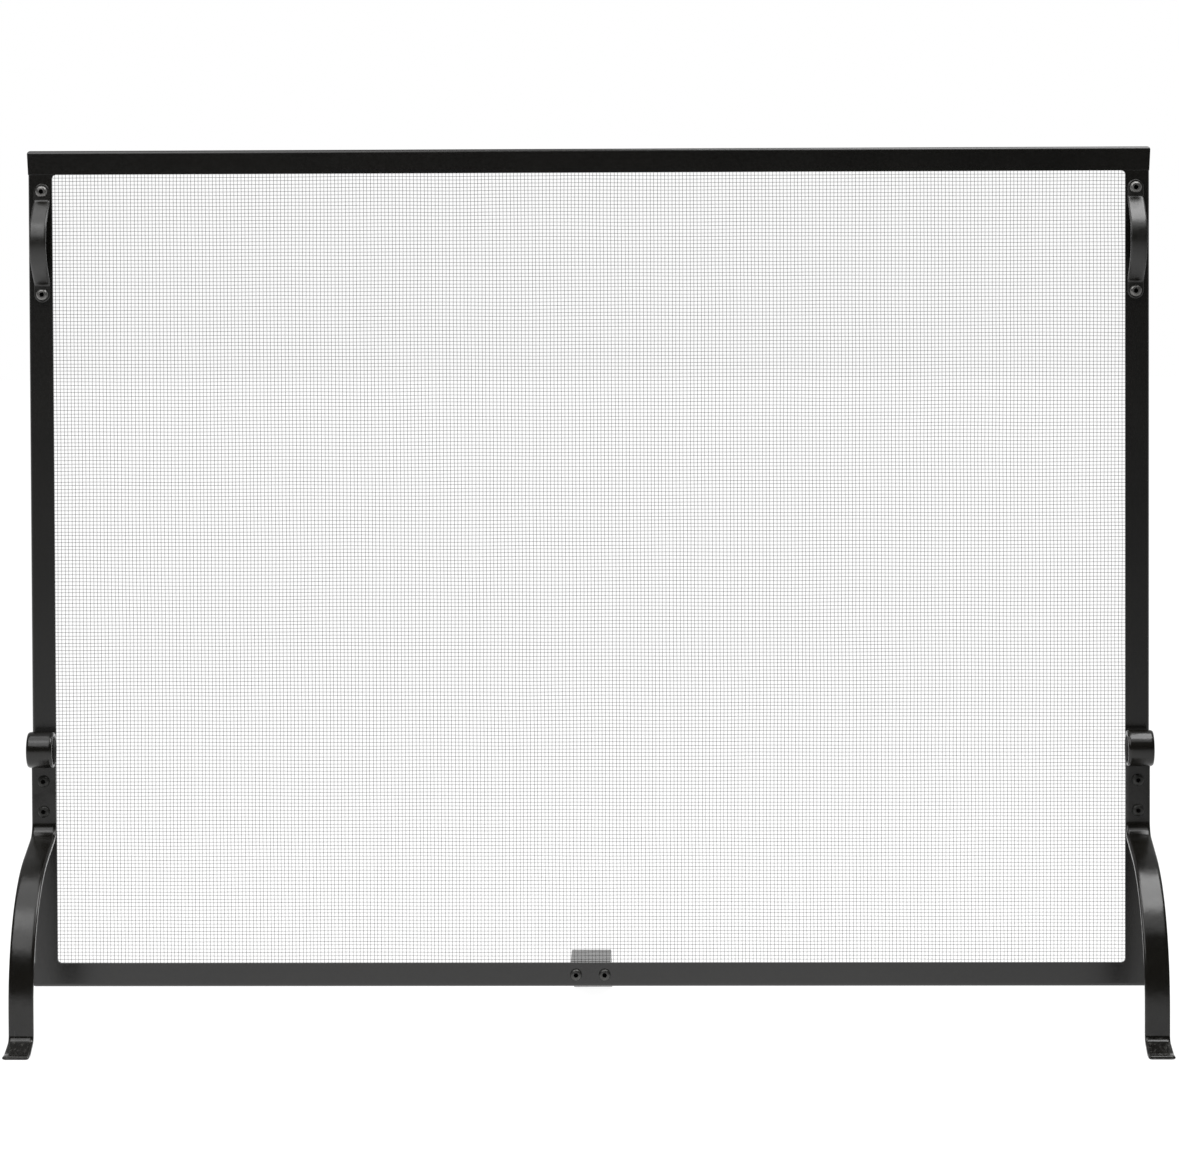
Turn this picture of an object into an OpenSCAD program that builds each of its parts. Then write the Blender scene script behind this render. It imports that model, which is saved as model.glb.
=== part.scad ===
// Flat free-standing fireplace screen: an angle-steel frame with a woven wire
// panel clamped behind it, two bow handles, two forged front legs and a bent
// rear foot. Millimetres, +Z up. The front faces -Y, and the origin is on the
// floor below the middle of the whole screen.

/* [Frame] */
// Width of the frame over its two stiles
frame_w = 990; // [700:10:1300]
// Height of the frame from its underside to its top
frame_h = 743; // [600:1:950]
// Height of the frame's underside above the floor
floor_gap = 31; // [24:1:55]
// Width of the steel face that shows round the mesh
face_w = 21.2; // [20.6:0.2:28]
// Depth of the flange that the steel turns back at its outer edge
flange_d = 19; // [14:1:30]
// Thickness of the frame steel
frame_t = 3; // [2:0.5:3.5]
// Outer radius of the bend between face and flange
bend_r = 3; // [1:0.5:5]
// How far a rail runs past the stile at each end
rail_over = 1; // [0:0.5:3]
// Radius of the frame's outer corners, seen from the front
corner_r = 3; // [1:0.5:8]
// Radius of the weld in the frame's inner corners
weld_r = 3.5; // [1:0.5:6]

/* [Mesh and retainer bars] */
// Thickness of the woven wire panel
mesh_t = 0.9; // [0.6:0.1:2]
// Number of openings across the plate that stands for the wire
grid_cols = 12; // [6:1:12]
// Number of openings in that plate from top to bottom
grid_rows = 9; // [4:1:9]
// Width of the strips between those openings
grid_land = 8; // [5:0.5:12]
// Width of the bars that clamp the mesh
bar_w = 14; // [11:0.5:14.5]
// Thickness of the bars
bar_t = 2; // [1.5:0.5:4]
// How far the bars stay back from the edge of the opening
bar_back = 1.4; // [1:0.2:2]
// Gap where a side bar meets a top or bottom bar
bar_gap = 0.5; // [0.2:0.1:0.9]
// Distance between the studs that hold the top and bottom bars
stud_pitch = 168; // [130:2:200]
// Number of studs on a stile between the leg and the handle
side_studs = 3; // [1:1:5]
// Height of the lowest stud on a stile above the frame's underside
low_stud_h = 79; // [50:1:110]

/* [Handles] */
// Distance from the frame's top down to a handle's upper screw
handle_drop = 36; // [32:1:90]
// Distance between the two screws of a handle
handle_span = 91; // [80:1:130]
// How far the bow stands out from the frame
handle_reach = 28; // [22:1:34]
// Thickness of the handle strap
handle_t = 3; // [2:0.5:4]
// Width of the handle strap in the middle of the bow
handle_w = 14.4; // [13:0.2:18]
// Width of the handle strap at the ends of the bow
handle_end_w = 13.8; // [11:0.2:14]
// Distance from the middle of the stile's face inward to the handles
handle_inset = 1.8; // [0:0.2:2.2]
// Diameter of the round pad under each handle screw
pad_d = 14; // [13:0.2:16]
// Distance from a handle screw to where its pad starts to bend
pad_in = 7; // [6.5:0.5:10]
// Radius of the bend between pad and bow, on the side of the stile
pad_r = 6; // [5:0.5:9]

/* [Legs] */
// How far the front legs reach forward of the frame's face
leg_reach = 166; // [155:1:200]
// Width of the leg strap
leg_w = 21.4; // [18:0.2:26]
// Thickness of the leg strap
leg_t = 5; // [4:0.5:6]
// Thickness at the drawn-out ends of the leg strap
leg_tip_t = 3.2; // [2.4:0.2:4]
// Height of the lower leg bolt above the frame's underside
leg_bolt_h = 157.2; // [150:0.2:190]
// Distance between the two bolts of a leg
leg_bolt_gap = 27; // [22:0.2:40]
// Distance from the lower bolt down to where the strap leaves the stile
kink_drop = 9.6; // [9:0.2:30]
// Radius of that bend, on the side of the stile
kink_r = 18; // [6.5:0.5:20]
// Angle below level at which the strap leaves the stile
leg_slope = 17.5; // [12:0.5:24]
// Radius of the sweep down to the floor, on its inner side
sweep_r = 118; // [100:1:122]
// Radius of the bends in the foot, on the underside
heel_r = 10; // [7:0.5:14]
// Length of the foot that slopes up from the flat toe to the heel
toe_ramp = 16; // [10:1:22]
// Angle above level of that slope
toe_lift = 18; // [10:1:25]
// Length of the flat toe on the floor
front_toe = 9; // [6:1:20]
// Outer diameter of the rolled eye at the top of a leg
eye_d = 32; // [28:1:44]
// Distance from the upper bolt up to the middle of the eye
eye_rise = 29.4; // [28:0.2:50]
// Angle through which the strap is rolled to make the eye
eye_turn = 304; // [270:1:306]
// Width to which the strap is spread at the eye
eye_w = 22.8; // [21.4:0.2:27]
// Width to which the strap is spread at the foot
toe_w = 22.8; // [21.4:0.2:27]

/* [Rear foot] */
// How far the rear foot reaches back from the frame's face
rear_reach = 172; // [150:1:220]
// Width of the rear foot's strap
rear_w = 36; // [36:1:50]
// Thickness of the rear foot's strap
rear_t = 4; // [3:0.5:5]
// Distance between the two screws of the rear foot
rear_screw_gap = 25.4; // [20:0.2:25.4]
// Distance from the edge of the face down to the top of the rear foot
rear_low = 1.2; // [0.6:0.2:2]
// Outer radius of the bend over the rear foot's screws
rear_bend_r = 8; // [7:0.5:9]
// Angle below level at which the rear foot goes down
rear_slope = 30; // [26:1:50]
// Radius of the bend into that slope, on the upper side
knee_r = 24; // [12:1:30]
// Radius of the bend out of that slope, on the upper side
ankle_r = 20; // [8:1:26]
// Length of the flat toe on the floor
rear_toe = 8; // [6:1:30]
// Radius of the toe's corners
toe_r = 4; // [2:0.5:6]

/* [Fasteners] */
// Thread diameter of the button-head screws and bolts
screw_d = 6; // [5:0.5:6]
// Diameter of a button head
head_d = 10.5; // [9:0.1:11]
// Height of a button head
head_h = 3.3; // [2.6:0.1:3.6]
// Height of the straight rim below the dome of a button head
rim_h = 0.8; // [0.4:0.1:1.2]
// Diameter of the flat on top of a button head
crown_d = 5.2; // [5:0.1:6]
// Width of the hexagon socket across its flats
socket_af = 4; // [3:0.1:4.2]
// Depth of the hexagon socket
socket_h = 2; // [1.4:0.1:2.4]
// Width of the nuts across their flats
nut_af = 10; // [9:0.5:10]
// Height of the nuts
nut_h = 5; // [4:0.2:6]
// Diameter of the studs that hold the bars
stud_d = 4; // [3:0.5:4]
// Width of the stud nuts across their flats
stud_nut_af = 7; // [6.5:0.5:8]
// Height of the stud nuts
stud_nut_h = 3.2; // [2.4:0.2:4]
// Length of thread that stands out of a nut or of the tapped rear foot
thread_past = 1.6; // [0.5:0.1:2.4]
// How much wider a hole is than the screw that passes through it
hole_play = 0.6; // [0.3:0.1:1]
// How much wider a thread is modelled in a nut than on its screw
thread_play = 0.2; // [0.1:0.05:0.3]

/* [Hidden] */
$fn = 96;

LEFT = -1;
RIGHT = 1;
STEEL = [0.15, 0.15, 0.14];
FORGED = [0.19, 0.19, 0.18];
WIRE = [0.30, 0.30, 0.29];
SCREW = [0.10, 0.10, 0.10];

// Places in the frame. Depths are counted back from the frame's front face.
front_y = (leg_reach - rear_reach) / 2;
base_z = floor_gap;
top_z = floor_gap + frame_h;
face_x = frame_w / 2 - face_w / 2;
handle_x = face_x - handle_inset;
open_x = frame_w / 2 - face_w;
mesh_y = frame_t;
bar_y = mesh_y + mesh_t;
back_y = bar_y + bar_t;
bar_x = open_x + bar_back + bar_w / 2;
bar_inset = face_w - bar_back - bar_w / 2;
panel_w = 2 * (bar_x + bar_w / 2);
panel_h = frame_h - 2 * (bar_inset - bar_w / 2);

// Heights of the screws
handle_top_z = top_z - handle_drop;
handle_low_z = handle_top_z - handle_span;
leg_low_z = base_z + leg_bolt_h;
leg_top_z = leg_low_z + leg_bolt_gap;
rear_screw_z = base_z + face_w / 2;

// Studs: a row along the top and bottom bars, and a column on each side bar
row_half = floor((panel_w / 2 - bar_w) / stud_pitch - 0.5);
stud_xs = [for (i = [0:row_half]) for (s = [LEFT, RIGHT]) s * (i + 0.5) * stud_pitch];
side_step = (handle_low_z - leg_top_z) / (side_studs + 1);
stud_zs = concat([base_z + low_stud_h], [for (i = [1:side_studs]) leg_top_z + i * side_step]);
stud_spots = concat(
    [for (x = stud_xs) for (z = [base_z + bar_inset, top_z - bar_inset]) [x, z]],
    [for (z = stud_zs) for (s = [LEFT, RIGHT]) [s * bar_x, z]]
);
stud_l = mesh_t + bar_t + stud_nut_h + thread_past;

screw_hole_d = screw_d + hole_play;
stud_hole_d = stud_d + hole_play;
through = 200;

// A strap's side view is walked from a start of [x, y, heading]: each step is
// [straight length, turn, radius], with left turns positive.
arc_step = 6;
function ahead(at, run) = [at[0] + run * cos(at[2]), at[1] + run * sin(at[2]), at[2]];
function swung(at, turn, r) =
    let (side = sign(turn), head = at[2] + turn)
    [at[0] + side * r * (sin(head) - sin(at[2])), at[1] - side * r * (cos(head) - cos(at[2])), head];
function bend(at, turn, r) =
    let (n = max(1, ceil(abs(turn) / arc_step)))
    turn == 0 ? [] : [for (i = [1:n]) swung(at, turn * i / n, r)];
function walk(at, steps, i = 0) =
    i == len(steps) ? [] :
    let (straight = ahead(at, steps[i][0]), round_part = bend(straight, steps[i][1], steps[i][2]))
    let (made = concat([straight], round_part))
    concat(made, walk(made[len(made) - 1], steps, i + 1));
function from(at, steps) = concat([at], walk(at, steps));
function gap(a, b) = norm([b[0] - a[0], b[1] - a[1]]);
function lengths(path) = [for (i = 0, s = 0; i < len(path); i = i + 1,
    s = s + (i < len(path) ? gap(path[i - 1], path[i]) : 0)) s];
function aside(p, d) = [p[0] - d * sin(p[2]), p[1] + d * cos(p[2])];

// Outline of a strap: the walked face, and the other face at thick[i] to its left
function strap_outline(path, thick) = concat(
    [for (p = path) [p[0], p[1]]],
    [for (i = [len(path) - 1:-1:0]) aside(path[i], thick[i])]
);

// Stands the screen so that its origin is at the middle of its depth
module stand() {
    translate([0, front_y, 0]) children();
}

// Extrudes a side view, drawn as [y, z], to a width across X
module side_view(width) {
    rotate([90, 0, 90]) translate([0, 0, -width / 2]) linear_extrude(width) children();
}

// Extrudes a front view, drawn as [x, z], through everything from depth y to y + length
module front_view(y, length) {
    translate([0, y + length, 0]) rotate([90, 0, 0]) linear_extrude(length) children();
}

// Hole or shaft from depth y backwards
module along_y(d, y, length) {
    translate([0, y, 0]) rotate([-90, 0, 0]) cylinder(d = d, h = length);
}

module holes_at(spots, d) {
    for (p = spots) translate([p[0], 0, p[1]]) along_y(d, -through / 2, through);
}

// Rectangle round its own middle, with all four corners rounded
module round_rect(w, h, r) {
    square([w - 2 * r, h], center = true);
    square([w, h - 2 * r], center = true);
    for (sx = [-1, 1]) for (sy = [-1, 1]) translate([sx * (w / 2 - r), sy * (h / 2 - r)]) circle(r);
}

// Section of the angle steel: face along +X from the origin, flange along +Y
module angle_section() {
    difference() {
        union() {
            translate([bend_r, 0]) square([face_w - bend_r, flange_d]);
            translate([0, bend_r]) square([face_w, flange_d - bend_r]);
            translate([bend_r, bend_r]) circle(bend_r);
        }
        translate([frame_t, frame_t]) square([face_w, flange_d]);
    }
}

// The frame's outline from the front, with its rounded outer corners
module frame_front() {
    translate([0, top_z - frame_h / 2]) round_rect(frame_w + 2 * rail_over, frame_h, corner_r);
}

// A rail along X with its flange at height z; up is 1 for the top rail, -1 for the bottom one
module rail(z, up) {
    length = frame_w + 2 * rail_over;
    intersection() {
        translate([-length / 2, 0, z]) scale([1, 1, up]) rotate([90, 90, 90])
            linear_extrude(length) angle_section();
        front_view(0, flange_d) frame_front();
    }
}

// The weld that rounds an inner corner, in the corner of the opening at [x, z]
module weld(x, z, side, up) {
    front_view(0, frame_t) translate([x, z]) scale([side, up]) difference() {
        translate([-weld_r, -weld_r]) square(weld_r);
        translate([-weld_r, -weld_r]) circle(weld_r);
    }
}

// A stile: the angle stands between the rails' faces, and its flange runs on behind them
module stile(side) {
    face_h = frame_h - 2 * face_w;
    difference() {
        union() {
            translate([side * frame_w / 2, 0, base_z + face_w]) mirror([side > 0 ? 1 : 0, 0, 0])
                linear_extrude(face_h) angle_section();
            translate([side * (frame_w - frame_t) / 2, (frame_t + flange_d) / 2, base_z + frame_h / 2])
                cube([frame_t, flange_d - frame_t, frame_h - 2 * frame_t], center = true);
            weld(side * open_x, top_z - face_w, side, 1);
            weld(side * open_x, base_z + face_w, side, -1);
        }
        holes_at([for (p = stile_screws) [side * p[0], p[1]]], screw_hole_d);
    }
}

handle_spots = [[handle_x, handle_top_z], [handle_x, handle_low_z]];
leg_spots = [[face_x, leg_top_z], [face_x, leg_low_z]];
stile_screws = concat(handle_spots, leg_spots);
side_screws = [for (s = [LEFT, RIGHT]) for (p = stile_screws) [s * p[0], p[1]]];
rear_screws = [for (s = [LEFT, RIGHT]) [s * rear_screw_gap / 2, rear_screw_z]];

module top_rail() color(STEEL) stand() rail(top_z, 1);

module bottom_rail() color(STEEL) stand() difference() {
    rail(base_z, -1);
    holes_at(rear_screws, screw_hole_d);
}

module left_stile() color(STEEL) stand() stile(LEFT);
module right_stile() color(STEEL) stand() stile(RIGHT);

// The woven wire, as a plate of the weave's own thickness with a plain grid of openings,
// which fills the opening of the frame evenly
cell_w = 2 * open_x / grid_cols;
cell_h = (frame_h - 2 * face_w) / grid_rows;
module grid_openings() {
    for (col = [0:grid_cols - 1]) for (row = [0:grid_rows - 1])
        translate([(col + 0.5) * cell_w - open_x, mesh_y, base_z + face_w + (row + 0.5) * cell_h])
            cube([cell_w - grid_land, 4 * mesh_t, cell_h - grid_land], center = true);
}

module mesh_panel() color(WIRE, 0.35) stand() difference() {
    translate([-panel_w / 2, mesh_y, top_z - frame_h / 2 - panel_h / 2]) cube([panel_w, mesh_t, panel_h]);
    grid_openings();
    holes_at(concat(side_screws, rear_screws), screw_hole_d);
    holes_at(stud_spots, stud_hole_d);
}

// A bar along the top or bottom edge, at height z
module level_bar(z) {
    difference() {
        translate([-panel_w / 2, bar_y, z - bar_w / 2]) cube([panel_w, bar_t, bar_w]);
        holes_at(rear_screws, screw_hole_d);
        holes_at(stud_spots, stud_hole_d);
    }
}

module upright_bar(side) {
    length = panel_h - 2 * (bar_w + bar_gap);
    difference() {
        translate([side * bar_x - bar_w / 2, bar_y, top_z - frame_h / 2 - length / 2])
            cube([bar_w, bar_t, length]);
        holes_at(side_screws, screw_hole_d);
        holes_at(stud_spots, stud_hole_d);
    }
}

module top_bar() color(STEEL) stand() level_bar(top_z - bar_inset);
module bottom_bar() color(STEEL) stand() level_bar(base_z + bar_inset);
module left_bar() color(STEEL) stand() upright_bar(LEFT);
module right_bar() color(STEEL) stand() upright_bar(RIGHT);

// Studs welded to the back of the face, and the nuts that clamp the bars
module bar_studs() color(SCREW) stand()
    for (p = stud_spots) translate([p[0], 0, p[1]]) along_y(stud_d, mesh_y, stud_l);

module hex_nut(af, h, bore, y) {
    difference() {
        translate([0, y, 0]) rotate([-90, 0, 0]) cylinder(d = af / cos(30), h = h, $fn = 6);
        along_y(bore, y - h, 3 * h);
    }
}

module bar_nuts() color(SCREW) stand()
    for (p = stud_spots) translate([p[0], 0, p[1]])
        hex_nut(stud_nut_af, stud_nut_h, stud_d + thread_play, back_y);

// Button-head socket screw: the head's underside lies at depth y, the thread runs back
module button_screw(y, length) {
    dome_c = ((head_d ^ 2 - crown_d ^ 2) / 4 + rim_h ^ 2 - head_h ^ 2) / (2 * (head_h - rim_h));
    dome_r = norm([crown_d / 2, head_h + dome_c]);
    along_y(screw_d, y - rim_h / 2, length + rim_h / 2);
    difference() {
        intersection() {
            along_y(head_d, y - head_h, head_h);
            translate([0, y + dome_c, 0]) sphere(dome_r);
        }
        translate([0, y - head_h - 1, 0]) rotate([-90, 0, 0])
            cylinder(d = socket_af / cos(30), h = socket_h + 1, $fn = 6);
    }
}

// Bow handle: pad, bow and pad again, walked downwards along the face that lies on the stile
bow_span = handle_span - 2 * pad_in;
bow_rise = handle_reach - handle_t;
bow_angle = 2 * atan(2 * bow_rise / bow_span);
bow_r = bow_span / (2 * sin(bow_angle)) - pad_r;
handle_path = from([0, handle_top_z + pad_d / 2, -90], [
    [pad_d / 2 + pad_in, -bow_angle, pad_r],
    [0, 2 * bow_angle, bow_r],
    [0, -bow_angle, pad_r],
    [pad_d / 2 + pad_in, 0, 0],
]);

// Half the strap's width at height z of the bow, widest in the middle
function bow_half_w(t) = handle_end_w / 2 + (handle_w - handle_end_w) / 2 * cos(90 * t);
module handle_front() {
    mid_z = (handle_top_z + handle_low_z) / 2;
    marks = [for (i = [-10:10]) i / 10];
    for (z = [handle_top_z, handle_low_z]) translate([0, z]) circle(d = pad_d);
    polygon(concat(
        [for (t = marks) [bow_half_w(t), mid_z + t * handle_span / 2]],
        [for (t = marks) [-bow_half_w(t), mid_z - t * handle_span / 2]]
    ));
}

module handle(side) {
    translate([side * handle_x, 0, 0]) difference() {
        intersection() {
            side_view(2 * max(handle_w, pad_d))
                polygon(strap_outline(handle_path, [for (p = handle_path) -handle_t]));
            front_view(-handle_reach, handle_reach) handle_front();
        }
        holes_at([[0, handle_top_z], [0, handle_low_z]], screw_hole_d);
    }
}

module left_handle() color(FORGED) stand() handle(LEFT);
module right_handle() color(FORGED) stand() handle(RIGHT);

// Screws through a strap of the given thickness, the face, the mesh and a bar, and their nuts
module side_screw_pair(side, spots, strap_t) {
    length = strap_t + back_y + nut_h + thread_past;
    for (p = spots) translate([side * p[0], 0, p[1]]) button_screw(-strap_t, length);
}

module side_nut_pair(side, spots) {
    for (p = spots) translate([side * p[0], 0, p[1]])
        hex_nut(nut_af, nut_h, screw_d + thread_play, back_y);
}

module left_handle_screws() color(SCREW) stand() side_screw_pair(LEFT, handle_spots, handle_t);
module right_handle_screws() color(SCREW) stand() side_screw_pair(RIGHT, handle_spots, handle_t);
module left_handle_nuts() color(SCREW) stand() side_nut_pair(LEFT, handle_spots);
module right_handle_nuts() color(SCREW) stand() side_nut_pair(RIGHT, handle_spots);

// Front leg: walked along its back face from the tip of the toe, back and up to the heel,
// up the sweep and the stile, and over into the rolled eye
kink_z = leg_low_z - kink_drop;
eye_z = leg_top_z + eye_rise;
leg_turn = 90 - leg_slope;
foot_depth = front_toe + toe_ramp * cos(toe_lift) + heel_r;
foot_rise = toe_ramp * sin(toe_lift) + heel_r;
leg_straight = (leg_reach - (kink_r + sweep_r) * (1 - sin(leg_slope)) - foot_depth) / cos(leg_slope);
leg_rise = kink_z - (kink_r + sweep_r) * cos(leg_slope) - leg_straight * sin(leg_slope) - foot_rise;
leg_path = from([-leg_reach, 0, 0], [
    [front_toe, toe_lift, heel_r],
    [toe_ramp, 90 - toe_lift, heel_r],
    [leg_rise, -leg_turn, sweep_r],
    [leg_straight, leg_turn, kink_r],
    [eye_z - kink_z, eye_turn, eye_d / 2],
]);
leg_run = lengths(leg_path);
leg_total = leg_run[len(leg_run) - 1];
eye_length = eye_turn * PI / 180 * eye_d / 2;

// The strap is drawn out thinner towards the toe and round the eye
foot_length = front_toe + toe_ramp + heel_r;
leg_thick = [for (s = leg_run) leg_tip_t
    + (leg_t - leg_tip_t) * min(1, s / foot_length, (leg_total - s) / eye_length)];

// Half-widths by height: spread at the toe, even up to the bolts, spread again at the eye
module leg_front() {
    eye_low_z = eye_z - eye_d / 2;
    right_edge = [
        [toe_w / 2, 0], [toe_w / 2, leg_t], [leg_w / 2, foot_rise + leg_t],
        [leg_w / 2, leg_top_z], [eye_w / 2, eye_low_z], [eye_w / 2, eye_z + eye_d],
    ];
    polygon(concat(right_edge, [for (i = [len(right_edge) - 1:-1:0]) [-right_edge[i][0], right_edge[i][1]]]));
}

module leg(side) {
    translate([side * face_x, 0, 0]) difference() {
        intersection() {
            side_view(2 * eye_w) polygon(strap_outline(leg_path, leg_thick));
            front_view(-leg_reach, leg_reach) leg_front();
        }
        holes_at([[0, leg_top_z], [0, leg_low_z]], screw_hole_d);
    }
}

module left_leg() color(FORGED) stand() leg(LEFT);
module right_leg() color(FORGED) stand() leg(RIGHT);
module left_leg_bolts() color(SCREW) stand() side_screw_pair(LEFT, leg_spots, leg_t);
module right_leg_bolts() color(SCREW) stand() side_screw_pair(RIGHT, leg_spots, leg_t);
module left_leg_nuts() color(SCREW) stand() side_nut_pair(LEFT, leg_spots);
module right_leg_nuts() color(SCREW) stand() side_nut_pair(RIGHT, leg_spots);

// Rear foot: walked along its upper face from the foot of its flange, up behind the bar,
// back over the rail, down the slope and along the toe
rear_top_z = base_z + face_w - rear_low;
rear_foot_z = base_z + frame_t + hole_play;
rear_drop = rear_top_z - rear_t;
slope_run = (rear_drop - (knee_r + ankle_r) * (1 - cos(rear_slope))) / sin(rear_slope);
slope_depth = (knee_r + ankle_r) * sin(rear_slope) + slope_run * cos(rear_slope);
level_run = rear_reach - rear_toe - slope_depth - back_y - rear_bend_r;
rear_path = from([back_y, rear_foot_z, 90], [
    [rear_top_z - rear_bend_r - rear_foot_z, -90, rear_bend_r],
    [level_run, -rear_slope, knee_r],
    [slope_run, rear_slope, ankle_r],
    [rear_toe, 0, 0],
]);

module rear_foot() color(FORGED) stand() difference() {
    intersection() {
        side_view(rear_w) polygon(strap_outline(rear_path, [for (p = rear_path) -rear_t]));
        translate([0, rear_reach / 2, 0]) linear_extrude(top_z) round_rect(rear_w, rear_reach, toe_r);
    }
    for (p = rear_screws) translate([p[0], 0, p[1]]) along_y(screw_d + thread_play, 0, back_y + 2 * rear_t);
}

module rear_foot_screws() color(SCREW) stand()
    for (p = rear_screws) translate([p[0], 0, p[1]])
        button_screw(0, back_y + rear_t + thread_past);

top_rail();
bottom_rail();
left_stile();
right_stile();
mesh_panel();
top_bar();
bottom_bar();
left_bar();
right_bar();
bar_studs();
bar_nuts();
left_handle();
right_handle();
left_handle_screws();
right_handle_screws();
left_handle_nuts();
right_handle_nuts();
left_leg();
right_leg();
left_leg_bolts();
right_leg_bolts();
left_leg_nuts();
right_leg_nuts();
rear_foot();
rear_foot_screws();
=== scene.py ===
"""Fireplace screen: the dressed pieces, their finishes, the camera and the light. Metres, +Z up."""

import math

import bmesh
import bpy
from mathutils import Matrix, Vector, noise


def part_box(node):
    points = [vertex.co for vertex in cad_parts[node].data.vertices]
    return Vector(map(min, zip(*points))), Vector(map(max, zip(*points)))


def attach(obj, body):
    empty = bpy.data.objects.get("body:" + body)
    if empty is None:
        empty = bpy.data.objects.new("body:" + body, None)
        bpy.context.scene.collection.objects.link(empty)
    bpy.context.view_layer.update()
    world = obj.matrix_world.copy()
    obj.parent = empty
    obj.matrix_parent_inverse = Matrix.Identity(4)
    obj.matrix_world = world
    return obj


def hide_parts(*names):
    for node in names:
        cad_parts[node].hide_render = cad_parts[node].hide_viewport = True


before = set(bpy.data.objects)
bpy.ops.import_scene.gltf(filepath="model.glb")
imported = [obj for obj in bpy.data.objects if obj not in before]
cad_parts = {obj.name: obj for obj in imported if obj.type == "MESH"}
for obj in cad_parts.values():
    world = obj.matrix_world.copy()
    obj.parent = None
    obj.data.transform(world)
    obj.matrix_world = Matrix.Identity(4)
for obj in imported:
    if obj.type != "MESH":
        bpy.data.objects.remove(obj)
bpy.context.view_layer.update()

MM = 0.001
SIDES = ("left", "right")

# ---------------------------------------------------------------- places, read from the frame
top_rail_low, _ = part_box("top_rail")
base_low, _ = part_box("bottom_rail")
panel_low, panel_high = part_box("mesh_panel")
_, bar_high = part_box("top_bar")
leg_low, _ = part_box("left_leg")
rear_low, rear_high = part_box("rear_foot")

front_y = top_rail_low.y
back_y = bar_high.y


# ---------------------------------------------------------------- camera
# The lens and its sensor in mm, the frame's shift in sensor widths, and what the camera can see, in m
LENS, SENSOR, SHIFT_Y = 116.1, 36.0, -0.18
CLIP_NEAR, CLIP_FAR = 0.1, 60.0
# Where it stands in m, and how it is turned in degrees
CAMERA_ASIDE, CAMERA_AWAY, CAMERA_UP = 0.0568, 3.359, 0.6663
CAMERA_PITCH, CAMERA_YAW, CAMERA_ROLL = -1.553, 0.947, -0.218


def aim_camera():
    """A long lens in front of the screen, a little to its right and a little below its top."""
    data = bpy.data.cameras.new("camera")
    data.lens, data.sensor_width = LENS, SENSOR
    data.shift_y = SHIFT_Y
    data.clip_start, data.clip_end = CLIP_NEAR, CLIP_FAR
    camera = bpy.data.objects.new("camera", data)
    pitch, yaw, roll = (math.radians(turn) for turn in (CAMERA_PITCH, CAMERA_YAW, CAMERA_ROLL))
    turn = Matrix.Rotation(yaw, 4, "Z") @ Matrix.Rotation(math.pi / 2 + pitch, 4, "X")
    turn = turn @ Matrix.Rotation(roll, 4, "Z")
    place = Matrix.Translation((CAMERA_ASIDE, front_y - CAMERA_AWAY, CAMERA_UP))
    camera.matrix_world = place @ turn
    bpy.context.scene.collection.objects.link(camera)
    bpy.context.scene.camera = camera


# ---------------------------------------------------------------- shading
class Shading:
    """A node tree under construction, with short calls that add nodes and links."""

    def __init__(self, tree):
        self.nodes = tree.nodes
        self.links = tree.links

    def add(self, kind, **settings):
        node = self.nodes.new(kind)
        for key, value in settings.items():
            setattr(node, key, value)
        return node

    def join(self, source, target):
        self.links.new(source, target)

    def give(self, value, target):
        """Joins a socket to the target, or sets a plain value there."""
        if isinstance(value, bpy.types.NodeSocket):
            self.join(value, target)
        else:
            target.default_value = value

    def maths(self, operation, one, other):
        node = self.add("ShaderNodeMath", operation=operation)
        self.give(one, node.inputs[0])
        self.give(other, node.inputs[1])
        return node.outputs[0]

    def range(self, value, low, high, start=0.3, stop=0.7, curve="LINEAR"):
        """Maps value from start..stop to low..high."""
        node = self.add("ShaderNodeMapRange", interpolation_type=curve)
        node.inputs["From Min"].default_value = start
        node.inputs["From Max"].default_value = stop
        node.inputs["To Min"].default_value = low
        node.inputs["To Max"].default_value = high
        self.join(value, node.inputs["Value"])
        return node.outputs["Result"]

    def axes(self, place):
        """The X, Y and Z of a place or direction."""
        node = self.add("ShaderNodeSeparateXYZ")
        self.join(place, node.inputs[0])
        return node.outputs

    def mixed(self, share, first, second):
        """One shader below the other, by share."""
        node = self.add("ShaderNodeMixShader")
        self.join(share, node.inputs["Fac"])
        self.join(first, node.inputs[1])
        self.join(second, node.inputs[2])
        return node.outputs[0]

    def rays(self):
        """1 on camera rays only, and 1 on camera, glossy and transmission rays."""
        path = self.add("ShaderNodeLightPath").outputs
        seen = path["Is Camera Ray"]
        for name in ("Is Glossy Ray", "Is Transmission Ray"):
            seen = self.maths("MAXIMUM", seen, path[name])
        return path["Is Camera Ray"], seen


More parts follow.
